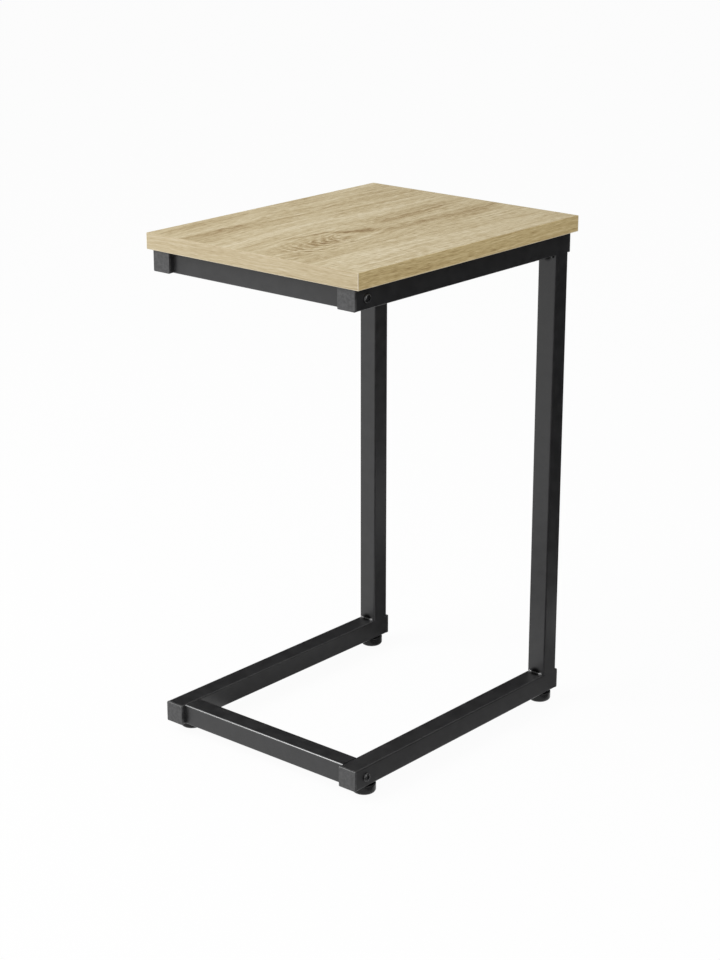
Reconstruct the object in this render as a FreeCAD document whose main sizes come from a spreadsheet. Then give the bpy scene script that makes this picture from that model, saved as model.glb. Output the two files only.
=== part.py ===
import FreeCAD, Part
import os
import Sketcher
from FreeCAD import Rotation, Vector

# C-shaped side table: an oak-print board on two welded side frames of square tube.
# +X is the table's right side, +Y its rear (where the posts stand) and +Z up.
# The origin is on the floor, under the middle of the board. Lengths are millimetres.

DIMENSIONS = (
    ("board_width", 316, "board, left to right, over its edge bands"),
    ("board_depth", 398, "board, front to rear, over its edge bands"),
    ("board_thickness", 19, "board, top to bottom"),
    ("band_thickness", 1, "edge band glued round the board"),
    ("band_edge_share", 0.5, "rounding of a band's long edges, as a share of its thickness"),
    ("side_overhang", 7, "board's side edges beyond the side frames"),
    ("front_overhang", 3, "board's front edge beyond the front end caps"),
    ("rear_overhang", 5, "board's rear edge beyond the rear end caps"),
    ("tube_size", 25, "square tube, outside"),
    ("tube_wall", 1.2, "square tube, wall"),
    ("tube_corner", 1.8, "square tube, outside corner radius"),
    ("post_height", 534, "posts, between the rails"),
    ("post_setback", 1, "post's rear face to the rail's rear end"),
    ("weld_leg", 3, "front weld bead, along the post and along the rail"),
    ("crossbar_setback", 3.5, "crossbar's front face to the rails' front ends"),
    ("cap_flange", 3, "end cap, thickness outside the tube"),
    ("cap_corner", 1.2, "end cap, corner radius of its flange"),
    ("cap_edge", 0.8, "end cap, rounding of its face"),
    ("cap_plug", 8, "end cap, length inside the tube"),
    ("cap_wall", 2, "end cap, wall of the hollow plug"),
    ("plug_clearance", 0.1, "gap between a plug and the tube round it"),
    ("bolt_diameter", 6, "crossbar bolt, shank"),
    ("bolt_head_diameter", 10.5, "crossbar bolt, button head"),
    ("bolt_head_height", 3.3, "crossbar bolt, button head"),
    ("bolt_crown", 2.6, "crossbar bolt, rounding of the head"),
    ("bolt_socket", 4, "crossbar bolt, hex socket across flats"),
    ("bolt_socket_depth", 2, "crossbar bolt, hex socket depth"),
    ("bolt_reach", 13, "crossbar bolt, length inside the crossbar"),
    ("nut_plate_thickness", 10, "threaded plate in a crossbar end"),
    ("screw_diameter", 4.5, "table top screw, shank"),
    ("screw_head_diameter", 9, "table top screw, pan head"),
    ("screw_head_height", 2.4, "table top screw, pan head"),
    ("screw_bite", 13, "table top screw, length inside the board"),
    ("screw_point", 4, "table top screw, length of its point"),
    ("screw_inset", 60, "table top screw to the nearer rail end"),
    ("screw_access_diameter", 12, "hole under a screw for the screwdriver"),
    ("hole_clearance", 0.1, "gap all round a bolt, screw or nut in its hole"),
    ("front_foot_inset", 27, "front foot's axis to the rail's front end"),
    ("rear_foot_inset", 17, "rear foot's axis to the rail's rear end"),
    ("pad_diameter", 28, "foot pad"),
    ("pad_height", 11.5, "foot pad"),
    ("pad_sole_round", 4, "foot pad, rounding at the floor"),
    ("pad_rim_round", 1, "foot pad, rounding at the top"),
    ("pad_gap", 0.3, "foot pad to the rivet nut, screwed right in"),
    ("stud_diameter", 8, "foot stud"),
    ("stud_reach", 14, "foot stud, length above the rail's underside"),
    ("stud_seat", 8, "foot stud, length inside the pad"),
    ("stud_chamfer", 0.8, "foot stud, bevel at its tip"),
    ("thread_clearance", 0.08, "gap all round a stud in its nut and its pad"),
    ("rivet_flange", 1.2, "rivet nut, flange under the rail"),
    ("rivet_flange_diameter", 15, "rivet nut, flange"),
    ("rivet_diameter", 11, "rivet nut, barrel"),
    ("rivet_length", 11, "rivet nut, barrel above the rail's underside"),
)

doc = FreeCAD.newDocument("side_table")
sheet = doc.addObject("Spreadsheet::Sheet", "Dims")
for row, (alias, millimetres, meaning) in enumerate(DIMENSIONS, start=1):
    sheet.set(f"A{row}", meaning)
    sheet.set(f"B{row}", str(millimetres))
    sheet.setAlias(f"B{row}", alias)
doc.recompute()

# Places that several pieces share, as expressions of the sheet's sizes.
HALF_TUBE = "Dims.tube_size / 2"
TUBE_INSIDE = "(Dims.tube_size - 2 * Dims.tube_wall)"
FRAME_WIDTH = "(Dims.board_width - 2 * Dims.side_overhang)"
SIDE_X = f"(({FRAME_WIDTH} - Dims.tube_size) / 2)"
CROSSBAR_LENGTH = f"({FRAME_WIDTH} - 2 * Dims.tube_size)"
RAIL_FRONT = "(Dims.front_overhang + Dims.cap_flange - Dims.board_depth / 2)"
RAIL_REAR = "(Dims.board_depth / 2 - Dims.rear_overhang - Dims.cap_flange)"
RAIL_LENGTH = f"({RAIL_REAR} - {RAIL_FRONT})"
CROSSBAR_AXIS = f"(Dims.crossbar_setback + {HALF_TUBE})"
POST_AXIS = f"({RAIL_LENGTH} - Dims.post_setback - {HALF_TUBE})"
RAIL_UNDERSIDE = "(Dims.pad_height + Dims.pad_gap + Dims.rivet_flange)"
BOTTOM_RAIL_Z = f"({RAIL_UNDERSIDE} + {HALF_TUBE})"
POST_Z = f"({RAIL_UNDERSIDE} + Dims.tube_size)"
TOP_RAIL_Z = f"({POST_Z} + Dims.post_height + {HALF_TUBE})"
BOARD_Z = f"({POST_Z} + Dims.post_height + Dims.tube_size)"
SCREW_PLACES = ("Dims.screw_inset", f"{RAIL_LENGTH} - Dims.screw_inset")
FOOT_PLACES = (("front", "Dims.front_foot_inset"), ("rear", f"{RAIL_LENGTH} - Dims.rear_foot_inset"))
SIDES = (("left", -1), ("right", 1))
LEVELS = (("top", TOP_RAIL_Z), ("bottom", BOTTOM_RAIL_Z))

sub_parts = []


def keep(piece):
    """Count a finished piece among the sub-parts that are written out."""
    sub_parts.append(piece)
    return piece


def place(piece, x="0", y="0", z="0", turn=Rotation()):
    """Turn a piece and bind its origin to three expressions."""
    piece.Placement = FreeCAD.Placement(Vector(), turn)
    for axis, expression in (("x", x), ("y", y), ("z", z)):
        piece.setExpression(f"Placement.Base.{axis}", expression)
    return piece


def new_body(label):
    return doc.addObject("PartDesign::Body", label)


def new_sketch(body, plane):
    """Start a sketch on one of the body's own origin planes."""
    sketch = body.newObject("Sketcher::SketchObject", f"{body.Name}_sketch")
    origin_plane = next(item for item in body.Origin.OriginFeatures if item.Role == plane)
    sketch.AttachmentSupport = (origin_plane, [""])
    sketch.MapMode = "FlatFace"
    return sketch


def bind_point(sketch, geometry, point, x, y):
    """Fix one point of a sketch at two expressions from the sketch's origin."""
    for kind, axis, expression in (("DistanceX", -2, x), ("DistanceY", -1, y)):
        if expression == "0":
            sketch.addConstraint(Sketcher.Constraint("PointOnObject", geometry, point, axis))
            continue
        value = float(sketch.evalExpression(expression))
        index = sketch.addConstraint(Sketcher.Constraint(kind, -1, 1, geometry, point, value))
        sketch.setExpression(f"Constraints[{index}]", expression)


def outline(sketch, corners):
    """Draw a closed outline through corners that are pairs of expressions."""
    points = [Vector(*(float(sketch.evalExpression(value)) for value in corner)) for corner in corners]
    first = sketch.GeometryCount
    count = len(corners)
    for index in range(count):
        sketch.addGeometry(Part.LineSegment(points[index], points[(index + 1) % count]))
    for index, (x, y) in enumerate(corners):
        before = first + (index - 1) % count
        sketch.addConstraint(Sketcher.Constraint("Coincident", before, 2, first + index, 1))
        bind_point(sketch, first + index, 1, x, y)


def rectangle(sketch, width, height):
    """Draw a rectangle round the sketch's origin."""
    x, y = f"({width}) / 2", f"({height}) / 2"
    outline(sketch, ((f"-{x}", f"-{y}"), (x, f"-{y}"), (x, y), (f"-{x}", y)))


def circle(sketch, x, y, diameter):
    """Draw a circle round a point that is a pair of expressions."""
    centre = Vector(float(sketch.evalExpression(x)), float(sketch.evalExpression(y)))
    radius = float(sketch.evalExpression(f"({diameter}) / 2"))
    geometry = sketch.addGeometry(Part.Circle(centre, Vector(0, 0, 1), radius))
    index = sketch.addConstraint(Sketcher.Constraint("Radius", geometry, radius))
    sketch.setExpression(f"Constraints[{index}]", f"({diameter}) / 2")
    bind_point(sketch, geometry, 3, x, y)


def pad(body, sketch, length, reverse=False):
    feature = body.newObject("PartDesign::Pad", f"{body.Name}_pad")
    feature.Profile = sketch
    feature.setExpression("Length", length)
    feature.Reversed = reverse
    doc.recompute()
    return feature


def pocket(body, sketch, length, reverse=False, side="One side"):
    """Cut a sketch into the body, and stop if it removes nothing."""
    before = body.Shape.Volume
    feature = body.newObject("PartDesign::Pocket", f"{body.Name}_pocket")
    feature.Profile = sketch
    feature.setExpression("Length", length)
    feature.Reversed = reverse
    feature.SideType = side
    doc.recompute()
    if body.Shape.Volume >= before:
        raise ValueError(f"a pocket in {body.Label} removes nothing")
    return feature


def revolve(body, corners):
    """Turn a closed half outline, in radius and height, about the body's Z axis."""
    sketch = new_sketch(body, "XZ_Plane")
    outline(sketch, corners)
    feature = body.newObject("PartDesign::Revolution", f"{body.Name}_turned")
    feature.Profile = sketch
    feature.ReferenceAxis = (sketch, ["V_Axis"])
    doc.recompute()
    return feature


def fillet(body, radius, chosen):
    """Round the edges of the body's last feature that a test picks out."""
    base = body.Tip
    names = [f"Edge{number}" for number, edge in enumerate(base.Shape.Edges, start=1) if chosen(edge)]
    feature = body.newObject("PartDesign::Fillet", f"{body.Name}_round")
    feature.Base = (base, names)
    feature.setExpression("Radius", radius)
    doc.recompute()
    return feature


def runs_along(edge, direction):
    """Say whether a straight edge is parallel to a direction."""
    if edge.Curve.TypeId != "Part::GeomLine":
        return False
    return edge.Curve.Direction.cross(direction).Length < edge.Tolerance


def size(expression):
    """Give an expression's value in millimetres."""
    return float(sheet.evalExpression(expression.replace("Dims.", "")))


def group(label, pieces):
    """Keep several loose solids together as one sub-part."""
    compound = doc.addObject("Part::Compound", label)
    compound.Links = pieces
    return keep(compound)


# Board: the core with pilot holes for its screws, and four edge bands.
def board_core():
    body = place(new_body("table_top_core"), z=BOARD_Z)
    sketch = new_sketch(body, "XY_Plane")
    both_bands = "2 * Dims.band_thickness"
    rectangle(sketch, f"Dims.board_width - {both_bands}", f"Dims.board_depth - {both_bands}")
    pad(body, sketch, "Dims.board_thickness")
    holes = new_sketch(body, "XY_Plane")
    for _, sign in SIDES:
        for along in SCREW_PLACES:
            diameter = "Dims.screw_diameter + 2 * Dims.hole_clearance"
            circle(holes, f"{sign} * {SIDE_X}", f"{RAIL_FRONT} + {along}", diameter)
    pocket(body, holes, "Dims.screw_bite + Dims.hole_clearance", reverse=True)
    return keep(body)


def edge_band(label, length, x, y, quarter_turns):
    """Make one band, lying along X with its outside towards -Y before it is turned."""
    body = place(new_body(label), x, y, BOARD_Z, Rotation(Vector(0, 0, 1), 90 * quarter_turns))
    sketch = new_sketch(body, "XY_Plane")
    half = f"({length}) / 2"
    face = "-Dims.band_thickness"
    outline(sketch, ((f"-{half}", "0"), (f"-{half}", face), (half, face), (half, "0")))
    pad(body, sketch, "Dims.board_thickness")
    outside = -size("Dims.band_thickness")

    def long_outer_edge(edge):
        level = abs(edge.CenterOfMass.y - outside) < edge.Tolerance
        return level and runs_along(edge, Vector(1, 0, 0))

    fillet(body, "Dims.band_thickness * Dims.band_edge_share", long_outer_edge)
    return keep(body)


# Square tubes: rails run along Y, crossbars along X and posts along Z.
TUBE_PLANES = {"x": ("YZ_Plane", False), "y": ("XZ_Plane", True), "z": ("XY_Plane", False)}
TUBE_DIRECTIONS = {"x": Vector(1, 0, 0), "y": Vector(0, 1, 0), "z": Vector(0, 0, 1)}


def square_tube(label, axis, length):
    """Make a hollow tube with rounded corners, from the origin along one axis."""
    body = new_body(label)
    plane, reverse = TUBE_PLANES[axis]
    sketch = new_sketch(body, plane)
    rectangle(sketch, "Dims.tube_size", "Dims.tube_size")
    rectangle(sketch, TUBE_INSIDE, TUBE_INSIDE)
    pad(body, sketch, length, reverse)
    direction = TUBE_DIRECTIONS[axis]
    reach = size("(Dims.tube_size - Dims.tube_wall) / 2")

    def outer_corner(edge):
        offset = edge.CenterOfMass - direction * edge.CenterOfMass.dot(direction)
        return runs_along(edge, direction) and max(map(abs, offset)) > reach

    def inner_corner(edge):
        offset = edge.CenterOfMass - direction * edge.CenterOfMass.dot(direction)
        corner = min(sorted(map(abs, offset))[1:]) > reach - size("Dims.tube_wall")
        return runs_along(edge, direction) and corner and max(map(abs, offset)) < reach

    fillet(body, "Dims.tube_corner", outer_corner)
    fillet(body, "Dims.tube_corner - Dims.tube_wall", inner_corner)
    return body


def bolt_hole(rail):
    """Drill a rail from side to side on the crossbar's axis."""
    sketch = new_sketch(rail, "YZ_Plane")
    circle(sketch, CROSSBAR_AXIS, "0", "Dims.bolt_diameter + 2 * Dims.hole_clearance")
    pocket(rail, sketch, "2 * Dims.tube_size", side="Symmetric")


def wall_holes(rail, places, diameter, upwards):
    """Drill a rail's upper or lower wall at some distances from its front end."""
    sketch = new_sketch(rail, "XY_Plane")
    for along in places:
        circle(sketch, "0", along, diameter)
    pocket(rail, sketch, "Dims.tube_size", reverse=upwards)


def top_rail(side, sign):
    rail = square_tube(f"{side}_top_rail", "y", RAIL_LENGTH)
    place(rail, f"{sign} * {SIDE_X}", RAIL_FRONT, TOP_RAIL_Z)
    bolt_hole(rail)
    wall_holes(rail, SCREW_PLACES, "Dims.screw_diameter + 2 * Dims.hole_clearance", True)
    wall_holes(rail, SCREW_PLACES, "Dims.screw_access_diameter", False)
    return keep(rail)


def bottom_rail(side, sign):
    rail = square_tube(f"{side}_bottom_rail", "y", RAIL_LENGTH)
    place(rail, f"{sign} * {SIDE_X}", RAIL_FRONT, BOTTOM_RAIL_Z)
    bolt_hole(rail)
    feet = [along for _, along in FOOT_PLACES]
    wall_holes(rail, feet, "Dims.rivet_diameter + 2 * Dims.hole_clearance", False)
    return keep(rail)


def post(side, sign):
    body = square_tube(f"{side}_post", "z", "Dims.post_height")
    return keep(place(body, f"{sign} * {SIDE_X}", f"{RAIL_FRONT} + {POST_AXIS}", POST_Z))


def weld_beads(side, sign):
    """Lay a quarter-round bead where a post's front and rear faces meet each rail."""
    beads = []
    length = "(Dims.tube_size - 2 * Dims.tube_corner)"
    ends = ((1, POST_Z), (-1, f"{POST_Z} + Dims.post_height"))
    faces = ((-1, "Dims.weld_leg"), (1, "Dims.post_setback"))
    for up, height in ends:
        for outwards, leg in faces:
            bead = doc.addObject("Part::Cylinder", f"{side}_bead")
            bead.setExpression("Radius", leg)
            bead.setExpression("Height", length)
            bead.Angle = 90
            along_rail = Vector(0, outwards, 0)
            along_post = Vector(0, 0, up)
            first, second = (along_rail, along_post) if outwards == up else (along_post, along_rail)
            turn = Rotation(first, second, first.cross(second), "ZXY")
            face = f"{RAIL_FRONT} + {POST_AXIS} + {outwards} * {HALF_TUBE}"
            place(bead, f"{sign} * {SIDE_X} - {length} / 2", face, height, turn)
            beads.append(bead)
    return group(f"{side}_frame_welds", beads)


def crossbar(level, height):
    body = square_tube(f"front_{level}_crossbar", "x", CROSSBAR_LENGTH)
    return keep(place(body, f"-{CROSSBAR_LENGTH} / 2", f"{RAIL_FRONT} + {CROSSBAR_AXIS}", height))


# End caps: a flange as large as the tube, and a hollow plug inside it.
def end_cap(label, x, y, z, half_turns):
    """Make a cap whose face looks along -Y before it is turned."""
    body = place(new_body(label), x, y, z, Rotation(Vector(0, 0, 1), 180 * half_turns))
    flange = new_sketch(body, "XZ_Plane")
    rectangle(flange, "Dims.tube_size", "Dims.tube_size")
    pad(body, flange, "Dims.cap_flange")
    along = Vector(0, 1, 0)
    fillet(body, "Dims.cap_corner", lambda edge: runs_along(edge, along))
    face = -size("Dims.cap_flange")
    fillet(body, "Dims.cap_edge", lambda edge: abs(edge.BoundBox.YMax - face) < edge.Tolerance)
    plug = new_sketch(body, "XZ_Plane")
    outside = f"({TUBE_INSIDE} - 2 * Dims.plug_clearance)"
    inside = f"({outside} - 2 * Dims.cap_wall)"
    rectangle(plug, outside, outside)
    rectangle(plug, inside, inside)
    pad(body, plug, "Dims.cap_plug", reverse=True)
    reach = size(f"{outside} / 2") - size("Dims.cap_wall") / 2

    def plug_corner(edge):
        inwards = edge.CenterOfMass.y > 0
        return inwards and runs_along(edge, along) and abs(edge.CenterOfMass.x) > reach

    fillet(body, "Dims.tube_corner - Dims.tube_wall", plug_corner)
    return keep(body)


# Crossbar bolts and the threaded plates that they screw into.
def crossbar_bolt(label, x, y, z, sign):
    """Turn a button-head bolt and sink its hex socket; its head looks along +Z before it is placed."""
    body = place(new_body(label), x, y, z, Rotation(Vector(0, 0, 1), Vector(sign, 0, 0)))
    shank = "Dims.bolt_diameter / 2"
    head = "Dims.bolt_head_diameter / 2"
    tip = "-(Dims.tube_size + Dims.bolt_reach)"
    revolve(body, (("0", tip), (shank, tip), (shank, "0"), (head, "0"),
                   (head, "Dims.bolt_head_height"), ("0", "Dims.bolt_head_height")))
    top = size("Dims.bolt_head_height")
    fillet(body, "Dims.bolt_crown", lambda edge: abs(edge.BoundBox.ZMin - top) < edge.Tolerance)
    socket = new_sketch(body, "XY_Plane")
    point = "Dims.bolt_socket / sqrt(3)"
    corner_shares = ((1, 0), (1, 1), (-1, 1), (-1, 0), (-1, -1), (1, -1))
    corners = []
    for across, flat in corner_shares:
        x_place = f"{across} * {point}" if flat == 0 else f"{across} * {point} / 2"
        corners.append((x_place, f"{flat} * Dims.bolt_socket / 2" if flat else "0"))
    outline(socket, corners)
    socket.setExpression("AttachmentOffset.Base.z", "Dims.bolt_head_height")
    doc.recompute()
    pocket(body, socket, "Dims.bolt_socket_depth")
    return body


def nut_plate(label, x, y, z):
    """Make a square plate that fills the tube's bore, with a hole along X."""
    body = place(new_body(label), x, y, z)
    sketch = new_sketch(body, "YZ_Plane")
    side = f"({TUBE_INSIDE} - 2 * Dims.plug_clearance)"
    rectangle(sketch, side, side)
    circle(sketch, "0", "0", "Dims.bolt_diameter + 2 * Dims.hole_clearance")
    pad(body, sketch, "Dims.nut_plate_thickness")
    along = Vector(1, 0, 0)
    fillet(body, "Dims.tube_corner - Dims.tube_wall", lambda edge: runs_along(edge, along))
    return body


def crossbar_fasteners():
    bolts = []
    plates = []
    y = f"{RAIL_FRONT} + {CROSSBAR_AXIS}"
    for level, z in LEVELS:
        for side, sign in SIDES:
            bolts.append(crossbar_bolt(f"{side}_{level}_bolt", f"{sign} * {FRAME_WIDTH} / 2", y, z, sign))
            start = f"{sign} * {CROSSBAR_LENGTH} / 2"
            if sign > 0:
                start = f"{start} - Dims.nut_plate_thickness"
            plates.append(nut_plate(f"{side}_{level}_nut_plate", start, y, z))
    group("crossbar_bolts", bolts)
    group("crossbar_nut_plates", plates)


# Table top screws: their heads bear on the upper wall inside the top rails.
def table_top_screw(label, x, y):
    seat = f"{BOARD_Z} - Dims.tube_wall"
    body = place(new_body(label), x, y, seat)
    shank = "Dims.screw_diameter / 2"
    head = "Dims.screw_head_diameter / 2"
    tip = "Dims.tube_wall + Dims.screw_bite"
    revolve(body, (("0", "-Dims.screw_head_height"), (head, "-Dims.screw_head_height"), (head, "0"),
                   (shank, "0"), (shank, f"{tip} - Dims.screw_point"), ("0", tip)))
    return body


def table_top_screws():
    screws = []
    for side, sign in SIDES:
        for along in SCREW_PLACES:
            screws.append(table_top_screw(f"{side}_screw", f"{sign} * {SIDE_X}", f"{RAIL_FRONT} + {along}"))
    return group("table_top_screws", screws)


# Feet: a pad and a stud that screw in and out of a rivet nut in the bottom rail.
def foot_pad(label, x, y):
    body = place(new_body(label), x, y)
    bore = "(Dims.stud_diameter / 2 + Dims.thread_clearance)"
    floor = "(Dims.pad_height - Dims.stud_seat - Dims.pad_gap)"
    rim = "Dims.pad_diameter / 2"
    revolve(body, (("0", "0"), (rim, "0"), (rim, "Dims.pad_height"), (bore, "Dims.pad_height"),
                   (bore, floor), ("0", floor)))
    outside = size(rim)
    top = size("Dims.pad_height")

    def outer_circle(edge, height):
        level = abs(edge.BoundBox.ZMin - height) + abs(edge.BoundBox.ZMax - height) < edge.Tolerance
        return level and abs(edge.BoundBox.XMax - outside) < size("Dims.thread_clearance")

    fillet(body, "Dims.pad_sole_round", lambda edge: outer_circle(edge, 0))
    fillet(body, "Dims.pad_rim_round", lambda edge: outer_circle(edge, top))
    return keep(body)


def foot_stud(label, x, y):
    body = place(new_body(label), x, y, "Dims.pad_height - Dims.stud_seat")
    radius = "Dims.stud_diameter / 2"
    length = "(Dims.stud_seat + Dims.pad_gap + Dims.rivet_flange + Dims.stud_reach)"
    revolve(body, (("0", "0"), (radius, "0"), (radius, f"{length} - Dims.stud_chamfer"),
                   (f"{radius} - Dims.stud_chamfer", length), ("0", length)))
    return keep(body)


def rivet_nut(label, x, y):
    body = place(new_body(label), x, y, RAIL_UNDERSIDE)
    bore = "(Dims.stud_diameter / 2 + Dims.thread_clearance)"
    barrel = "Dims.rivet_diameter / 2"
    flange = "Dims.rivet_flange_diameter / 2"
    revolve(body, ((bore, "-Dims.rivet_flange"), (flange, "-Dims.rivet_flange"), (flange, "0"),
                   (barrel, "0"), (barrel, "Dims.rivet_length"), (bore, "Dims.rivet_length")))
    return body


def feet():
    nuts = []
    for side, sign in SIDES:
        for end, along in FOOT_PLACES:
            x, y = f"{sign} * {SIDE_X}", f"{RAIL_FRONT} + {along}"
            foot_pad(f"{side}_{end}_foot_pad", x, y)
            foot_stud(f"{side}_{end}_foot_stud", x, y)
            nuts.append(rivet_nut(f"{side}_{end}_rivet_nut", x, y))
    return group("foot_rivet_nuts", nuts)


board_core()
band_reach_x = "(Dims.board_width / 2 - Dims.band_thickness)"
band_reach_y = "(Dims.board_depth / 2 - Dims.band_thickness)"
edge_band("front_edge_band", "Dims.board_width", "0", f"-{band_reach_y}", 0)
edge_band("rear_edge_band", "Dims.board_width", "0", band_reach_y, 2)
edge_band("left_edge_band", f"2 * {band_reach_y}", f"-{band_reach_x}", "0", 3)
edge_band("right_edge_band", f"2 * {band_reach_y}", band_reach_x, "0", 1)

for side, sign in SIDES:
    top_rail(side, sign)
    post(side, sign)
    bottom_rail(side, sign)
    weld_beads(side, sign)
    for level, z in LEVELS:
        x = f"{sign} * {SIDE_X}"
        end_cap(f"{side}_{level}_front_cap", x, RAIL_FRONT, z, 0)
        end_cap(f"{side}_{level}_rear_cap", x, RAIL_REAR, z, 1)

for level, z in LEVELS:
    crossbar(level, z)
crossbar_fasteners()
table_top_screws()
feet()
doc.recompute()

for item in doc.Objects:
    if "Invalid" in item.State or "Error" in item.State:
        raise RuntimeError(f"{item.Label} failed: {item.State}")
for piece in sub_parts:
    if piece.Shape.isNull() or not piece.Shape.isValid():
        raise RuntimeError(f"{piece.Label} has no valid shape")

os.makedirs("parts", exist_ok=True)
for piece in sub_parts:
    piece.Shape.exportStep(f"parts/{piece.Label}.step")
    print(piece.Label, len(piece.Shape.Solids), "solids,", round(piece.Shape.Volume), "mm3")
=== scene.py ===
# %% [markdown]
# # A C-shaped side table
#
# The table is an oak-print board on a frame of black square tube. The construction model already
# holds every board, tube, cap, bolt and foot at its true place, so this script only dresses it.
# The loader brings the packed parts in as fixed nodes, and each one keeps its own shape.

# %% Load the packed table
import math

import bmesh
import bpy
from mathutils import Matrix, Vector


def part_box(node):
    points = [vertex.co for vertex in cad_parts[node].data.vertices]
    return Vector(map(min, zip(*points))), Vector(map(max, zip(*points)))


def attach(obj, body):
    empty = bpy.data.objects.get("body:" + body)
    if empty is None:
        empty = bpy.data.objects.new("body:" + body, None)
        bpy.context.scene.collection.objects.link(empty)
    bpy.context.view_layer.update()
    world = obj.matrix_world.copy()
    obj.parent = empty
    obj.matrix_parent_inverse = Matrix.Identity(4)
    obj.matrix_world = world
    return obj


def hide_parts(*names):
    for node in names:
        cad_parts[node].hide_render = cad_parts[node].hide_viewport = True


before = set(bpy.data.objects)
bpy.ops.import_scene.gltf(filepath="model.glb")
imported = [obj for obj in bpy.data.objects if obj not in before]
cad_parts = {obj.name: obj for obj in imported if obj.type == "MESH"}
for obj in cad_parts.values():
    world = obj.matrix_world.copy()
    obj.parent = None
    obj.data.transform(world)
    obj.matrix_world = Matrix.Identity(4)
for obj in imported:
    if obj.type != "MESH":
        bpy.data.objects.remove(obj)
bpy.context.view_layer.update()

# %% [markdown]
# ## Camera
#
# The picture was taken from the front right, a little above the board, with a long lens.
# A camera can be placed by hand, but here its direction is two angles and a distance, so it can
# be read and changed. It looks along the line from its place to the middle of the table, and two
# small steps frame the table as in the picture. The lens and sensor are in millimetres.

# %% Camera placed by two angles
SWING = math.radians(40.6)
RISE = math.radians(18.43)
REACH = 2.622
MIDDLE = Vector((0.0, 0.0, 0.308))
SIDE_STEP = -0.0074
UP_STEP = -0.0035
LENS = 82.05
SENSOR = 36.0
FAR_CLIP = 100.0

flat_reach = math.cos(RISE)
back = Vector((math.sin(SWING) * flat_reach, -math.cos(SWING) * flat_reach, math.sin(RISE)))
right = Vector((math.cos(SWING), math.sin(SWING), 0.0))
above = back.cross(right)

camera = bpy.data.objects.new("camera", bpy.data.cameras.new("camera"))
camera.data.lens = LENS
camera.data.sensor_width = SENSOR
camera.data.clip_end = FAR_CLIP
camera.location = MIDDLE + right * SIDE_STEP + above * UP_STEP + back * REACH
camera.rotation_mode = "QUATERNION"
camera.rotation_quaternion = (-back).to_track_quat("-Z", "Y")
bpy.context.scene.collection.objects.link(camera)
bpy.context.scene.camera = camera
bpy.context.scene.view_settings.view_transform = "Standard"
print("camera at", [round(value, 3) for value in camera.location])

# %% [markdown]
# ## Wiring helpers
#
# Every finish below is a small network of nodes. Wiring nodes one by one is long to read, so a
# Wire stands for one value in a network, and plain arithmetic on it adds the Math nodes.
# The group helpers make an empty shared effect with named sockets, and place it in a network.

# %% A value in a node network
class Wire:
    """One value in a node network. Arithmetic on it makes Math nodes."""

    def __init__(self, tree, socket):
        self.tree = tree
        self.socket = socket

    def math(self, operation, *others):
        node = self.tree.nodes.new("ShaderNodeMath")
        node.operation = operation
        for place, value in zip(node.inputs, (self, *others)):
            plug(self.tree, place, value)
        return Wire(self.tree, node.outputs[0])

    def __add__(self, other):
        return self.math("ADD", other)

    def __sub__(self, other):
        return self.math("SUBTRACT", other)

    def __mul__(self, other):
        return self.math("MULTIPLY", other)

    def __truediv__(self, other):
        return self.math("DIVIDE", other)

    def absolute(self):
        return self.math("ABSOLUTE")

    def root(self):
        return self.math("SQRT")

    def bell(self):
        """A soft hump, one where the value is zero."""
        return (self * self * -1.0).math("EXPONENT")

    def ramp(self, low, high):
        """Zero below low, one above high and smooth between them."""
        node = self.tree.nodes.new("ShaderNodeMapRange")
        node.interpolation_type = "SMOOTHSTEP"
        plug(self.tree, node.inputs["Value"], self)
        node.inputs["From Min"].default_value = low
        node.inputs["From Max"].default_value = high
        return Wire(self.tree, node.outputs["Result"])


def plug(tree, place, value):
    """Gives a socket a fixed value, or joins it to a wire."""
    if isinstance(value, Wire):
        tree.links.new(value.socket, place)
    else:
        place.default_value = value


print("a wire can", [name for name in vars(Wire) if not name.startswith("_")])

# %% Adding nodes and shared groups
SOCKET_KINDS = {"value": "NodeSocketFloat", "vector": "NodeSocketVector", "color": "NodeSocketColor"}


def add(tree, kind, inputs, **settings):
    """Adds a node, sets it up and plugs its inputs in."""
    node = tree.nodes.new(kind)
    for name, value in settings.items():
        setattr(node, name, value)
    for name, value in inputs.items():
        plug(tree, node.inputs[name], value)
    return node


def new_group(name, inputs, outputs):
    """An empty shared effect. Returns its network, its input wires and its output node."""
    tree = bpy.data.node_groups.new(name, "ShaderNodeTree")
    for label, kind in inputs.items():
        tree.interface.new_socket(label, in_out="INPUT", socket_type=SOCKET_KINDS[kind])
    for label, kind in outputs.items():
        tree.interface.new_socket(label, in_out="OUTPUT", socket_type=SOCKET_KINDS[kind])
    entry = tree.nodes.new("NodeGroupInput")
    wires = {label: Wire(tree, entry.outputs[label]) for label in inputs}
    return tree, wires, tree.nodes.new("NodeGroupOutput")


def place_group(tree, group, inputs):
    """Places a shared effect in a network and returns its output wires."""
    node = tree.nodes.new("ShaderNodeGroup")
    node.node_tree = group
    for label, value in inputs.items():
        plug(tree, node.inputs[label], value)
    return {socket.name: Wire(tree, socket) for socket in node.outputs}


print("a group's sockets are", list(SOCKET_KINDS))

# %% Vectors, noise and colours
def split(tree, vector):
    """The three parts of a vector wire."""
    node = add(tree, "ShaderNodeSeparateXYZ", {"Vector": vector})
    return [Wire(tree, socket) for socket in node.outputs]


def joined(tree, x, y, z):
    """A vector wire from three values."""
    node = add(tree, "ShaderNodeCombineXYZ", {"X": x, "Y": y, "Z": z})
    return Wire(tree, node.outputs["Vector"])


def noise(tree, vector, detail):
    """Cloudy noise from zero to one, one cell to a unit of the vector."""
    node = add(tree, "ShaderNodeTexNoise",
               {"Vector": vector, "Scale": 1.0, "Detail": detail, "Roughness": 0.5})
    return Wire(tree, node.outputs["Fac"])


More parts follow.
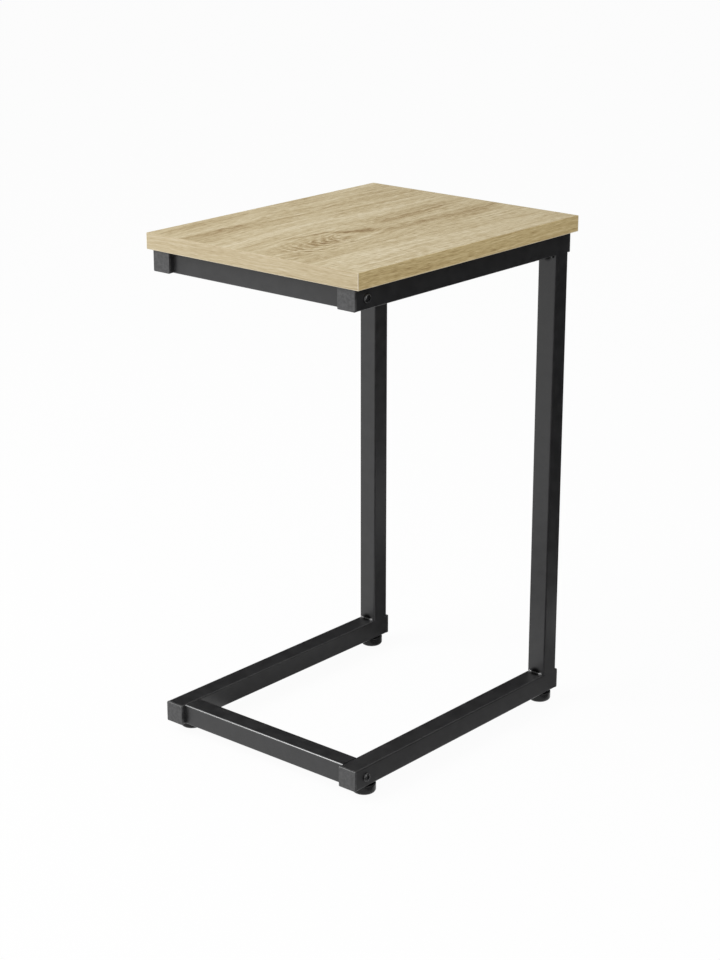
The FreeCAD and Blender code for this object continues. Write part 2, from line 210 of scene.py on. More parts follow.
def mixed(tree, share, first, second, blend="MIX"):
    """A colour wire between two colours, or one colour tinted by another."""
    node = add(tree, "ShaderNodeMix", {"Factor": share, "A": first, "B": second},
               data_type="RGBA", blend_type=blend)
    return Wire(tree, node.outputs["Result"])


def tint(red, green, blue):
    """A screen colour from 0 to 255, as the linear colour that sockets hold (the sRGB curve)."""
    linear = []
    for value in (red, green, blue):
        share = value / 255
        linear.append(share / 12.92 if share <= 0.04045 else ((share + 0.055) / 1.055) ** 2.4)
    return (*linear, 1.0)


print("a screen grey of 128 is a linear", round(tint(128, 128, 128)[0], 3))

# %% [markdown]
# ## Floor and backdrop
#
# The table stands on a plain white studio sweep. A floor that is white under the lamps alone would need
# so much light that the board burns out. Here cameras and glossy surfaces see the floor and the
# surroundings as white, while for lighting they are only a soft fill, so the background stays clean.
# A share of the floor is lit plainly and keeps the shadow.
# Seen from below the floor is clear, so that the underside can be looked at.

# %% Rays that see the white background
FILL_LEVEL = 0.5
WHITE = (1.0, 1.0, 1.0, 1.0)


def sees_background(tree):
    """One for camera, glossy and transmission rays, zero for the rest."""
    path = tree.nodes.new("ShaderNodeLightPath")
    seen = Wire(tree, path.outputs["Is Camera Ray"])
    seen = seen.math("MAXIMUM", Wire(tree, path.outputs["Is Glossy Ray"]))
    return seen.math("MAXIMUM", Wire(tree, path.outputs["Is Transmission Ray"]))


world = bpy.data.worlds.new("studio")
world.use_nodes = True
bpy.context.scene.world = world
sky = world.node_tree
sky.nodes.clear()
fill = sees_background(sky) * (1.0 - FILL_LEVEL) + FILL_LEVEL
sweep_light = add(sky, "ShaderNodeBackground", {"Color": WHITE, "Strength": fill})
sky_end = sky.nodes.new("ShaderNodeOutputWorld")
sky.links.new(sweep_light.outputs[0], sky_end.inputs["Surface"])
print("fill level", FILL_LEVEL)

# %% Floor paint
FLOOR_GREY = (0.86, 0.86, 0.86, 1.0)
GLOW_SHARE = 0.95
floor_paint = bpy.data.materials.new("studio_floor")
floor_paint.use_nodes = True
paint = floor_paint.node_tree
paint.nodes.clear()
lit = add(paint, "ShaderNodeBsdfDiffuse", {"Color": FLOOR_GREY})
glow = add(paint, "ShaderNodeEmission", {"Color": WHITE, "Strength": 1.0})
clear = paint.nodes.new("ShaderNodeBsdfTransparent")
seen_white = add(paint, "ShaderNodeMixShader", {"Fac": sees_background(paint) * GLOW_SHARE})
paint.links.new(lit.outputs[0], seen_white.inputs[1])
paint.links.new(glow.outputs[0], seen_white.inputs[2])
facing = paint.nodes.new("ShaderNodeNewGeometry")
from_below = add(paint, "ShaderNodeMixShader", {"Fac": Wire(paint, facing.outputs["Backfacing"])})
paint.links.new(seen_white.outputs[0], from_below.inputs[1])
paint.links.new(clear.outputs[0], from_below.inputs[2])
paint_end = paint.nodes.new("ShaderNodeOutputMaterial")
paint.links.new(from_below.outputs[0], paint_end.inputs["Surface"])
print("share of the floor that glows", GLOW_SHARE)

# %% Floor
FLOOR_REACH = 20.0
FLOOR_DROP = 0.0004
shape = bmesh.new()
bmesh.ops.create_grid(shape, x_segments=1, y_segments=1, size=FLOOR_REACH,
                      matrix=Matrix.Translation((0.0, 0.0, -FLOOR_DROP)))
floor_mesh = bpy.data.meshes.new("floor")
shape.to_mesh(floor_mesh)
shape.free()
floor = bpy.data.objects.new("floor", floor_mesh)
floor_mesh.materials.append(floor_paint)
bpy.context.scene.collection.objects.link(floor)
print("floor half width", FLOOR_REACH, "m, a hair under the feet:", FLOOR_DROP, "m")

# %% [markdown]
# ## Softboxes and flags
#
# A large softbox from the front left lights the board and the faces towards it, and a small one lifts the
# right side. Glossy black paint looks grey when it mirrors white all round. Turning its gloss down would
# lose its highlights, so dark and grey flags stand beside the table, as in a photographer's studio, and
# give its faces their contrast. Only mirror rays see the flags, so they cast no shadow and never show.

# %% Softboxes
def softbox(name, towards, distance, width, height, level):
    """A square lamp facing the table. Level is its brightness on a white card held up to it."""
    lamp = bpy.data.lights.new(name, "AREA")
    lamp.shape = "RECTANGLE"
    lamp.size = width
    lamp.size_y = height
    lamp.energy = level * math.pi ** 2 * distance ** 2
    holder = bpy.data.objects.new(name, lamp)
    direction = Vector(towards).normalized()
    holder.location = MIDDLE + direction * distance
    holder.rotation_mode = "QUATERNION"
    holder.rotation_quaternion = (-direction).to_track_quat("-Z", "Y")
    bpy.context.scene.collection.objects.link(holder)
    print(name, "level", level, "energy", round(lamp.energy, 1), "W")


softbox("key_softbox", towards=(-0.42, -0.62, 0.68), distance=3.2, width=2.0, height=2.0, level=0.74)
softbox("side_softbox", towards=(0.9, -0.2, 0.45), distance=2.6, width=1.2, height=1.2, level=0.12)

# %% One flag
def flag_cloth(name, level):
    """A cloth of one brightness, from black at zero to white at one."""
    cloth = bpy.data.materials.new(name)
    cloth.use_nodes = True
    tree = cloth.node_tree
    tree.nodes.clear()
    shine = add(tree, "ShaderNodeEmission", {"Color": WHITE, "Strength": level})
    end = tree.nodes.new("ShaderNodeOutputMaterial")
    tree.links.new(shine.outputs[0], end.inputs["Surface"])
    return cloth


def flag(name, centre, towards, width, height, level=0.0):
    """A cloth that only mirrors see, so that glossy paint has something dark to reflect."""
    cloth = bmesh.new()
    turn = Vector(towards).to_track_quat("Z", "Y").to_matrix().to_4x4()
    stand = Matrix.Translation(centre) @ turn @ Matrix.Diagonal((width / 2, height / 2, 1.0, 1.0))
    bmesh.ops.create_grid(cloth, x_segments=1, y_segments=1, size=1.0, matrix=stand)
    mesh = bpy.data.meshes.new(name)
    cloth.to_mesh(mesh)
    cloth.free()
    mesh.materials.append(flag_cloth(name, level))
    holder = bpy.data.objects.new(name, mesh)
    bpy.context.scene.collection.objects.link(holder)
    holder.visible_camera = False
    holder.visible_diffuse = False
    holder.visible_shadow = False
    print(name, width, "x", height, "m, level", level)


FLAG_LIFT = 0.002
UP = (0.0, 0.0, 1.0)
flag("floor_flag", (2.0, 1.5, FLAG_LIFT), UP, width=3.4, height=4.4)

# %% Smaller flags on the floor, and two upright
flag("rail_flag", (0.23, -0.22, FLAG_LIFT), UP, width=0.14, height=1.16, level=0.26)
flag("left_rail_flag", (-0.085, 0.05, FLAG_LIFT), UP, width=0.08, height=0.3, level=0.25)
flag("left_post_flag", (0.02, 0.55, FLAG_LIFT), UP, width=0.28, height=0.7, level=0.08)
flag("right_flag", (2.6, 2.6, 1.2), towards=(-0.7, -0.7, -0.1), width=4.0, height=3.2)
flag("rear_flag", (-1.6, 1.9, 1.0), towards=(0.617, -0.72, -0.2), width=3.6, height=2.8)

# %% [markdown]
# ## Oak print
#
# The board is faced with a printed oak paper under a hard clear film. Real oak shows long fibres,
# broad light and dark bands, dark streaks that end in points, a knot with cream wisps that cross the
# grain, and faint saw marks. A picture of oak could be laid on the board, but noises stretched along
# the grain and a few placed strokes give a print that stays sharp at any distance.
# All lengths here are millimetres, and the grain runs front to back.

# %% One placed stroke of the print
STROKE_FADED_IN = 0.12
STROKE_FADES_OUT = 0.7
stroke_group, stroke_in, stroke_out = new_group(
    "grain_stroke",
    {"Across": "value", "Along": "value", "Centre": "value", "Lean": "value", "Bow": "value",
     "Start": "value", "End": "value", "Width": "value", "Feather": "value"},
    {"Mask": "value"})
run = stroke_in["Along"] - stroke_in["Start"]
line = stroke_in["Centre"] + stroke_in["Lean"] * run + stroke_in["Bow"] * run * run
aside = (stroke_in["Across"] - line) / stroke_in["Width"]
aside = aside.math("MAXIMUM", 0.0) / stroke_in["Feather"] + aside.math("MINIMUM", 0.0)
length = stroke_in["End"] - stroke_in["Start"]
fade_in = (run / length).ramp(0.0, STROKE_FADED_IN)
fade_out = (run / length).ramp(1.0, STROKE_FADES_OUT)
plug(stroke_group, stroke_out.inputs["Mask"], aside.bell() * fade_in * fade_out)
print("stroke nodes", len(stroke_group.nodes))

# %% Coordinates of the print
MM_PER_METRE = 1000.0
oak_group, oak_in, oak_out = new_group(
    "oak_print",
    {"Position": "vector", "Figure": "value"},
    {"Color": "color", "Roughness": "value", "Height": "value"})
metres_across, metres_along, _ = split(oak_group, oak_in["Position"])
oak_across = metres_across * MM_PER_METRE
oak_along = metres_along * MM_PER_METRE
figure = oak_in["Figure"]


def oak_noise(wide, long, seed, detail=2.0, across=None):
    """Noise from zero to one, its cells so wide and so long in millimetres."""
    sideways = oak_across if across is None else across
    return noise(oak_group, joined(oak_group, sideways / wide, oak_along / long, seed), detail)


def sway(wide, long, seed, reach):
    """A noise that pushes either way, by up to half its reach in millimetres."""
    return (oak_noise(wide, long, seed) - 0.5) * reach


wavy_across = oak_across + sway(wide=40.0, long=60.0, seed=12.0, reach=9.0)
wavy_across = wavy_across + sway(wide=6.0, long=20.0, seed=13.0, reach=4.0)
wavy_along = oak_along + sway(wide=9.0, long=16.0, seed=14.0, reach=12.0)
print("coordinate nodes", len(oak_group.nodes))

# %% The knot parts the grain
KNOT_ACROSS = 27.0
KNOT_ALONG = -58.0
PARTING_CORE = 11.0
PARTING_SPREAD = 55.0
PARTING_REACH = 15.0
drift = sway(wide=110.0, long=330.0, seed=1.0, reach=46.0) + sway(wide=24.0, long=90.0, seed=2.0, reach=9.0)
knot_across = oak_across - KNOT_ACROSS
knot_along = oak_along - KNOT_ALONG
# The grain parts from the front edge on, and closes again behind the knot.
parting = oak_along.ramp(-199.0, -120.0) * oak_along.ramp(10.0, -45.0) * figure
push = (knot_across / PARTING_CORE).math("TANH") * (knot_across / PARTING_SPREAD).bell()
ring = oak_across + drift - push * parting * PARTING_REACH
print("knot", KNOT_ACROSS, "mm right of the middle and", -KNOT_ALONG, "mm in front of it")

# %% Cream and brown wisps curl in front of the knot
CURL_STRETCH = 1.8
CURL_PERIOD = 6.5
CURL_CENTRE = 36.0
CURL_SPREAD = 25.0
CREAM_SHARE = 0.44
BROWN_SHARE = 0.22
TAN_SHARE = 0.1
FAINTEST_WISP = 0.2
curl_along = knot_along / CURL_STRETCH
curl = (knot_across * knot_across + curl_along * curl_along).root()
curl = curl + sway(wide=22.0, long=30.0, seed=10.0, reach=15.0)
curl = curl + sway(wide=5.0, long=8.0, seed=16.0, reach=3.5)
curl_wave = (curl * (math.tau / CURL_PERIOD)).math("SINE")
curl_place = ((oak_across - CURL_CENTRE) / CURL_SPREAD).bell()
curl_place = curl_place * oak_along.ramp(-196.0, -150.0) * oak_along.ramp(-58.0, -76.0)
wisps = curl_wave.ramp(0.4, 0.98) * CREAM_SHARE - curl_wave.ramp(-0.2, -0.95) * BROWN_SHARE
patchy = oak_noise(wide=11.0, long=13.0, seed=19.0).ramp(0.36, 0.58)
patchy = patchy * (1.0 - FAINTEST_WISP) + FAINTEST_WISP
wisps = (wisps * patchy - TAN_SHARE) * curl_place * figure
print("wisps", CURL_PERIOD, "mm apart")

# %% Bands, lines, fibres and pores
bands = oak_noise(wide=26.0, long=420.0, seed=4.0, across=ring) - 0.5
stripes = oak_noise(wide=6.5, long=240.0, seed=5.0, across=ring) - 0.5
lines = oak_noise(wide=2.0, long=90.0, seed=6.0, across=ring) - 0.5
fibres = oak_noise(wide=0.8, long=15.0, seed=8.0) - 0.5
flecks = oak_noise(wide=2.4, long=11.0, seed=15.0) - 0.5
dashes = oak_noise(wide=1.2, long=24.0, seed=17.0, detail=1.0).ramp(0.56, 0.72)
pores = oak_noise(wide=0.45, long=7.0, seed=9.0, detail=1.0).ramp(0.6, 0.74)
print("oak nodes so far", len(oak_group.nodes))

# %% Saw marks across the front right of the board
SAW_PERIOD = 8.2
saw_place = wavy_across.ramp(40.0, 125.0) * wavy_along.ramp(80.0, -90.0) * figure
saw_along = oak_along + sway(wide=160.0, long=19.0, seed=20.0, reach=22.0)
saw_along = saw_along + sway(wide=14.0, long=30.0, seed=21.0, reach=3.0)
saw_wave = (saw_along * (math.tau / SAW_PERIOD)).math("SINE")
saw_breaks = oak_noise(wide=26.0, long=14.0, seed=11.0).ramp(0.28, 0.68)
saw_marks = saw_wave.ramp(-0.3, 0.9) * saw_breaks * saw_place
print("saw marks", SAW_PERIOD, "mm apart")

# %% Strokes along the grain: centre, lean, bow, start, end, width, feather, strength
GRAIN_STROKES = (
    (-104.0, 0.00, 0.0, -230.0, -60.0, 4.5, 1.3, -0.26),
    (-111.0, -0.02, 0.0, -80.0, 60.0, 4.0, 1.6, -0.14),
    (-88.0, -0.13, 0.0, -30.0, 75.0, 1.5, 1.3, -0.22),
    (-94.0, -0.10, 0.0, -20.0, 70.0, 2.2, 1.2, 0.15),
    (-60.0, -0.08, 0.0, 0.0, 230.0, 6.0, 1.5, -0.18),
    (-48.0, 0.00, 0.0, -230.0, 230.0, 24.0, 1.2, 0.10),
    (-12.0, 0.09, 0.0, -136.0, -48.0, 1.5, 2.4, -0.40),
    (-10.0, 1.45, -0.0165, -70.0, -8.0, 6.0, 1.5, -0.29),
    (12.0, 0.40, 0.0, -60.0, 20.0, 7.0, 1.0, -0.18),
    (0.0, 0.00, 0.0, 2.0, 180.0, 9.0, 1.0, -0.18),
    (9.0, 0.01, 0.0, 8.0, 170.0, 1.3, 1.2, -0.20),
    (-9.0, 0.01, 0.0, 0.0, 160.0, 1.3, 1.2, -0.18),
    (34.0, 0.02, 0.0, -40.0, 260.0, 8.0, 1.7, -0.16),
    (27.0, -0.01, 0.0, 120.0, 240.0, 1.6, 1.5, -0.24),
    (41.0, 0.22, 0.0, -46.0, -16.0, 1.5, 1.2, -0.28),
    (47.0, 0.15, 0.0, -225.0, -150.0, 5.0, 1.2, -0.20),
    (66.0, 0.00, 0.0, -230.0, 230.0, 5.0, 1.4, -0.10),
    (84.0, 0.00, 0.0, -230.0, -80.0, 3.5, 1.3, -0.14),
    (20.0, 0.05, 0.0, -84.0, -24.0, 8.0, 1.2, 0.14),
    (120.0, 0.00, 0.0, -230.0, 230.0, 30.0, 1.2, 0.07),
)
print("strokes along the grain", len(GRAIN_STROKES))

# %% Strokes across the grain, with the same values
CROSS_STROKES = (
    (-66.0, -1.10, 0.0135, 8.0, 66.0, 2.0, 1.3, 0.30),
    (-74.0, -1.10, 0.0135, 12.0, 58.0, 2.4, 1.3, -0.22),
    (13.0, -0.10, 0.0, -16.0, 8.0, 1.6, 1.2, 0.24),
    (-12.0, 0.00, 0.0, 66.0, 116.0, 3.0, 1.2, 0.12),
    (-123.0, 1.20, 0.0, -109.0, -98.0, 1.4, 1.2, 0.34),
)
print("strokes across the grain", len(CROSS_STROKES))


# %% Lay the strokes
def lay_strokes(strokes, across, along):
    """The summed light and dark of some strokes."""
    total = None
    for centre, lean, bow, start, end, width, feather, strength in strokes:
        mask = place_group(oak_group, stroke_group, {
            "Across": across, "Along": along, "Centre": centre, "Lean": lean, "Bow": bow,
            "Start": start, "End": end, "Width": width, "Feather": feather})["Mask"]
        total = mask * strength if total is None else total + mask * strength
    return total


RAGGED_SPAN = 0.9
RAGGED_LEAST = 0.5
ragged = oak_noise(wide=1.6, long=34.0, seed=7.0).ramp(0.3, 0.7) * RAGGED_SPAN + RAGGED_LEAST
broken = oak_noise(wide=5.0, long=4.0, seed=18.0).ramp(0.3, 0.6)
placed = lay_strokes(GRAIN_STROKES, wavy_across, oak_along) * ragged
placed = placed + lay_strokes(CROSS_STROKES, wavy_along, wavy_across) * broken
print("oak nodes with strokes", len(oak_group.nodes))

# %% Tone of the print, from dark at zero to light at one
MEAN_TONE = 0.685
tone = bands * 0.42 + stripes * 0.72 + lines * 0.78 + fibres * 1.15 + flecks * 0.55 + MEAN_TONE
tone = tone + (placed + wisps) * figure + saw_marks * 0.19 - dashes * 0.18 - pores * 0.12
MEAN_ROUGHNESS = 0.5
plug(oak_group, oak_out.inputs["Roughness"], fibres * -0.12 + pores * 0.12 + MEAN_ROUGHNESS)
plug(oak_group, oak_out.inputs["Height"], fibres * 0.5 + lines * 0.3 - pores * 0.8 + saw_marks * 0.2)
print("mean tone", MEAN_TONE, "mean roughness", MEAN_ROUGHNESS)

# %% Colours of the print
SHADES = (
    (0.08, tint(128, 101, 67)),
    (0.28, tint(160, 137, 100)),
    (0.48, tint(185, 167, 130)),
    (0.66, tint(200, 184, 148)),
    (0.82, tint(210, 196, 163)),
    (1.0, tint(224, 212, 184)),
)
shades = add(oak_group, "ShaderNodeValToRGB", {"Fac": tone})
points = shades.color_ramp.elements
while len(points) < len(SHADES):
    points.new(0.5)
for point, (place, shade) in zip(points, SHADES):
    point.position = place
    point.color = shade
plug(oak_group, oak_out.inputs["Color"], Wire(oak_group, shades.outputs["Color"]))
print("oak nodes", len(oak_group.nodes), "shades", len(SHADES))

# %% [markdown]
# ## Board finishes
#
# The top shows the print with its grain running front to back, and the underside is faced with a
# plainer sheet of it. The four edges carry a thin band with the same print turned along each edge.
# One finish for all would show end grain where the real edges show a band, so each edge has its own.
# A band's colour never quite meets the sheet's, so it is given a tone, which also holds painted shade:
# darker on the front and rear bands, browner on the sides. The trimmed rims show paler plastic.

# %% A finish with one shader
def new_finish(name):
    """A material with one Principled shader. Returns it, its network, its shader and its position wire."""
    finish = bpy.data.materials.new(name)
    finish.use_nodes = True
    tree = finish.node_tree
    shader = tree.nodes["Principled BSDF"]
    place = tree.nodes.new("ShaderNodeTexCoord")
    print("new finish", name)
    return finish, tree, shader, Wire(tree, place.outputs["Object"])


oak_board, oak_tree, oak_shader, oak_place = new_finish("oak_board")


# %% Board top and underside
def relief(tree, shader, height, depth, strength):
    """Joins a height to the shader's normal. Depth is in metres."""
    bump = add(tree, "ShaderNodeBump", {"Height": height, "Strength": strength, "Distance": depth})
    plug(tree, shader.inputs["Normal"], Wire(tree, bump.outputs["Normal"]))


OAK_GLOSS = 0.25
UNDERSIDE_STEP = 0.45
TURNOVER = 0.001
core_low, core_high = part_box("table_top_core")
core_middle = (core_low.z + core_high.z) / 2
board_x, board_y, board_z = split(oak_tree, oak_place)
on_top = board_z.ramp(core_middle - TURNOVER, core_middle + TURNOVER)
sheet_place = joined(oak_tree, board_x + (on_top - 1.0) * UNDERSIDE_STEP, board_y, 0.0)
oak = place_group(oak_tree, oak_group, {"Position": sheet_place, "Figure": on_top})
plug(oak_tree, oak_shader.inputs["Base Color"], oak["Color"])
plug(oak_tree, oak_shader.inputs["Roughness"], oak["Roughness"])
oak_shader.inputs["Specular IOR Level"].default_value = OAK_GLOSS
relief(oak_tree, oak_shader, oak["Height"], depth=0.00012, strength=0.35)
print("the print turns over at", round(core_middle, 4), "m")

# %% One edge band
EVEN_OAK = tint(200, 184, 149)
PALE_RIM = tint(232, 222, 200)
RIM_SHARE = 0.7
RIM_STARTS = 0.0009
RIM_FULL = 0.0003
CORNER_STARTS = 0.0006
CORNER_FULL = 0.0002
PRINT_SQUEEZE = 1.6
band_low, band_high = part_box("front_edge_band")


def edge_band(name, along_x, offset, tone_and_shade, evenness):
    """The band finish with its print along one edge, evened out, tinted with its tone and painted shade, and
    with pale rims.
    """
    finish, tree, shader, place = new_finish(name)
    x, y, z = split(tree, place)
    along, through = (x, y) if along_x else (y, x)
    print_place = joined(tree, z * PRINT_SQUEEZE + offset, along, through)
    oak = place_group(tree, oak_group, {"Position": print_place, "Figure": 0.0})
    rim = z.ramp(band_low.z + RIM_STARTS, band_low.z + RIM_FULL)
    if along_x:
        corner = x.absolute().ramp(band_high.x - CORNER_STARTS, band_high.x - CORNER_FULL)
        rim = rim.math("MAXIMUM", corner)
    evened = mixed(tree, evenness, oak["Color"], EVEN_OAK)
    # Multiplies in the band's own tone together with its painted shade.
    shaded_tone = mixed(tree, 1.0, evened, tone_and_shade, blend="MULTIPLY")
    rimmed = mixed(tree, rim * RIM_SHARE, shaded_tone, PALE_RIM)
    plug(tree, shader.inputs["Base Color"], rimmed)
    plug(tree, shader.inputs["Roughness"], oak["Roughness"])
    shader.inputs["Specular IOR Level"].default_value = OAK_GLOSS
    relief(tree, shader, oak["Height"], depth=0.0001, strength=0.3)
    return finish


print("front band spans", [round(value, 4) for value in (*band_low, *band_high)])

# %% Four edge bands
# The end bands' tone is partly their own and partly painted shade that darkens them; the side bands' tone is
# partly their own and partly painted warm shade.
END_TONE_AND_SHADE = (0.88, 0.88, 0.9, 1.0)
SIDE_TONE_AND_SHADE = (1.0, 0.93, 0.73, 1.0)
END_EVENNESS = 0.45
SIDE_EVENNESS = 0.1
bands_by_node = {
    "front_edge_band": edge_band("front_edge_band", True, 0.21, END_TONE_AND_SHADE, END_EVENNESS),
    "rear_edge_band": edge_band("rear_edge_band", True, 0.37, END_TONE_AND_SHADE, END_EVENNESS),
    "left_edge_band": edge_band("left_edge_band", False, 0.53, SIDE_TONE_AND_SHADE, SIDE_EVENNESS),
    "right_edge_band": edge_band("right_edge_band", False, 0.69, SIDE_TONE_AND_SHADE, SIDE_EVENNESS),
}
print("edge bands", list(bands_by_node))

# %% [markdown]
# ## Frame, cap, bolt and foot finishes
#
# Powder coat is a plastic powder melted onto steel: nearly black, with a fine pebbled skin.
# Moulded caps and feet, blackened bolts and zinc-plated nuts differ in colour and in the
# size of that skin. Each could have a network of its own, but one shared effect makes them all,
# each with its own values, so a change to the skin reaches every one of them.

# %% Pebbled skin shared by the dark finishes
CLOUD_SHARE = 0.7
CLOUD_HEIGHT = 0.6
skin_group, skin_in, skin_out = new_group(
    "pebbled_skin",
    {"Position": "vector", "Dark": "color", "Light": "color", "Smoothest": "value", "Roughest": "value",
     "Pebble": "value", "Cloud": "value"},
    {"Color": "color", "Roughness": "value", "Height": "value"})


def skin_noise(size, seed, detail):
    """Noise with cells of one size in millimetres."""
    x, y, z = (part * MM_PER_METRE / size for part in split(skin_group, skin_in["Position"]))
    return noise(skin_group, joined(skin_group, x + seed, y, z), detail)


pebbles = skin_noise(skin_in["Pebble"], seed=3.0, detail=1.0)
clouds = skin_noise(skin_in["Cloud"], seed=8.0, detail=3.0)
blend = clouds.ramp(0.3, 0.7) * CLOUD_SHARE + pebbles.ramp(0.3, 0.7) * (1.0 - CLOUD_SHARE)
plug(skin_group, skin_out.inputs["Color"], mixed(skin_group, blend, skin_in["Dark"], skin_in["Light"]))
span = skin_in["Roughest"] - skin_in["Smoothest"]
plug(skin_group, skin_out.inputs["Roughness"], skin_in["Smoothest"] + span * blend)
plug(skin_group, skin_out.inputs["Height"], pebbles + clouds * CLOUD_HEIGHT)
print("skin nodes", len(skin_group.nodes))


# %% One finish made of the skin
def skin_finish(name, dark, light, smoothest, roughest, pebble, cloud, depth, metal, gloss):
    """A finish made of the pebbled skin. Depth is in metres and gloss is the specular level."""
    finish, tree, shader, place = new_finish(name)
    skin = place_group(tree, skin_group, {
        "Position": place, "Dark": dark, "Light": light, "Smoothest": smoothest, "Roughest": roughest,
        "Pebble": pebble, "Cloud": cloud})
    plug(tree, shader.inputs["Base Color"], skin["Color"])
    plug(tree, shader.inputs["Roughness"], skin["Roughness"])
    shader.inputs["Metallic"].default_value = metal
    shader.inputs["Specular IOR Level"].default_value = gloss
    relief(tree, shader, skin["Height"], depth, strength=0.4)
    return finish


frame_paint = skin_finish(
    "frame_paint", dark=tint(33, 33, 34), light=tint(41, 41, 42), smoothest=0.3, roughest=0.38,
    pebble=0.7, cloud=14.0, depth=0.00005, metal=0.0, gloss=0.58)

# %% The other dark finishes and the zinc
cap_plastic = skin_finish(
    "cap_plastic", dark=tint(27, 27, 28), light=tint(69, 69, 70), smoothest=0.4, roughest=0.56,
    pebble=0.9, cloud=4.0, depth=0.0001, metal=0.0, gloss=0.8)
black_bolt = skin_finish(
    "black_bolt", dark=tint(20, 20, 21), light=tint(34, 34, 35), smoothest=0.18, roughest=0.28,
    pebble=0.5, cloud=2.0, depth=0.00002, metal=0.0, gloss=0.8)
foot_plastic = skin_finish(
    "foot_plastic", dark=tint(20, 20, 21), light=tint(28, 28, 29), smoothest=0.2, roughest=0.3,
    pebble=0.6, cloud=4.0, depth=0.00003, metal=0.0, gloss=0.28)
weld_paint = skin_finish(
    "weld_paint", dark=tint(33, 33, 34), light=tint(41, 41, 42), smoothest=0.2, roughest=0.3,
    pebble=1.2, cloud=5.0, depth=0.00005, metal=0.0, gloss=0.9)
zinc_steel = skin_finish(
    "zinc_steel", dark=tint(150, 154, 160), light=tint(190, 192, 194), smoothest=0.28, roughest=0.42,
    pebble=0.5, cloud=2.5, depth=0.00002, metal=1.0, gloss=0.5)

# %% [markdown]
# ## Rubbed corners and painted shade at the welds
#
# Shoes and hands rub the upper front corners of tubes and caps smooth, and those draw a bright line under
# the lamp. Thin bright strips could be laid on them, but a clear coat that a mask lets through
# only where a corner faces up and to the front stays part of the paint and moves with it.
# Over the middle of each front weld, in the crease between post and rail, painted shade turns the coat
# nearly black, and only the weld's ends glint. A very dark metal keeps that painted shade from mirroring,
# where dark paint would still shine.

# %% Rubbed corners
LEAN_START = 0.15
LEAN_FULL = 0.35
RUBBED_ROUGHNESS = 0.12


def rub_corners(finish, index):
    """Adds a clear coat of a refractive index on the corners that face up and to the front."""
    tree = finish.node_tree
    shader = tree.nodes["Principled BSDF"]
    facing = tree.nodes.new("ShaderNodeNewGeometry")
    _, y, z = split(tree, Wire(tree, facing.outputs["True Normal"]))
    plug(tree, shader.inputs["Coat Weight"], y.ramp(-LEAN_START, -LEAN_FULL) * z.ramp(LEAN_START, LEAN_FULL))
    shader.inputs["Coat IOR"].default_value = index
    shader.inputs["Coat Roughness"].default_value = RUBBED_ROUGHNESS
    print(finish.name, "has rubbed corners")


rub_corners(frame_paint, index=2.05)
rub_corners(cap_plastic, index=1.42)

# %% Where the shade is painted round the welds
# A mask of painted shade in the crease at the front of each post's foot and head.
WELD_SHADE_REACH = 0.0065
WELD_SHADE_FAINT = 0.08
WELD_SHADE_FULL = 0.6
post_low, post_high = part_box("right_post")
weld_shade_group, weld_shade_in, weld_shade_out = new_group("weld_painted_shade", {"Position": "vector"}, {"Mask": "value"})
shade_x, shade_y, shade_z = split(weld_shade_group, weld_shade_in["Position"])
shade_aside = (shade_x.absolute() - (post_low.x + post_high.x) / 2) / WELD_SHADE_REACH
shade_ahead = (shade_y - post_low.y) / WELD_SHADE_REACH
shade_level = ((shade_z - post_low.z) / WELD_SHADE_REACH).bell() + ((shade_z - post_high.z) / WELD_SHADE_REACH).bell()
shade_share = shade_aside.bell() * shade_ahead.bell() * shade_level
plug(weld_shade_group, weld_shade_out.inputs["Mask"], shade_share.ramp(WELD_SHADE_FAINT, WELD_SHADE_FULL))
print("heat reached", WELD_SHADE_REACH, "m from the posts' front feet and heads")

# %% Paint shade at the welds
WELD_SHADE_COLOUR = tint(6, 6, 6)


def paint_weld_shade(finish, darkening, dulling):
    """Paints shade into a finish, nearly black in the middle of each front weld, and returns the mask."""
    tree = finish.node_tree
    shader = tree.nodes["Principled BSDF"]
    place = Wire(tree, tree.nodes.new("ShaderNodeTexCoord").outputs["Object"])
    weld_shade = place_group(tree, weld_shade_group, {"Position": place})["Mask"]
    coat = Wire(tree, shader.inputs["Base Color"].links[0].from_socket)
    # Painted shade: the colour is mixed towards near black, and a dark metal stops it mirroring.
    plug(tree, shader.inputs["Base Color"], mixed(tree, weld_shade * darkening, coat, WELD_SHADE_COLOUR))
    plug(tree, shader.inputs["Metallic"], weld_shade * dulling)
    print(finish.name, "darkened by", darkening, "and dulled by", dulling, "at the welds")
    return weld_shade


paint_weld_shade(frame_paint, darkening=0.9, dulling=0.9)
weld_painted_shade = paint_weld_shade(weld_paint, darkening=0.8, dulling=0.9)

# %% Glossy ends of the welds
MELT_INDEX = 2.0
MELT_ROUGHNESS = 0.15
weld_shader = weld_paint.node_tree.nodes["Principled BSDF"]
plug(weld_paint.node_tree, weld_shader.inputs["Coat Weight"], weld_painted_shade * -1.0 + 1.0)
weld_shader.inputs["Coat IOR"].default_value = MELT_INDEX
weld_shader.inputs["Coat Roughness"].default_value = MELT_ROUGHNESS
print("the coat on the welds' ends has an index of", MELT_INDEX)

# %% [markdown]
# ## Weld beads
#
# Each post is welded to its rails along its front and rear faces, and the coat runs over the beads.
# A bead is a row of small drops that melt into each other, with a lump where the welder starts and stops.
# It could be a row of spheres, but that leaves hidden faces inside. Here a quarter disc is drawn out along
# the corner in short steps, and each step is scaled up or down, so the bead is one closed skin.
# On the two sides the weld is ground flush, so a small block fills the groove under the post's wall.

# %% How far a bead swells
BEAD_LENGTH = 21.4
DROP_PITCH = 2.4
BEAD_BODY = 0.78
RIPPLE = 0.06
LUMP = 0.36
LUMP_PLACE = 0.09
LUMP_SPREAD = 0.08
TIP_START = 0.25
TIP_RISE = 14.0


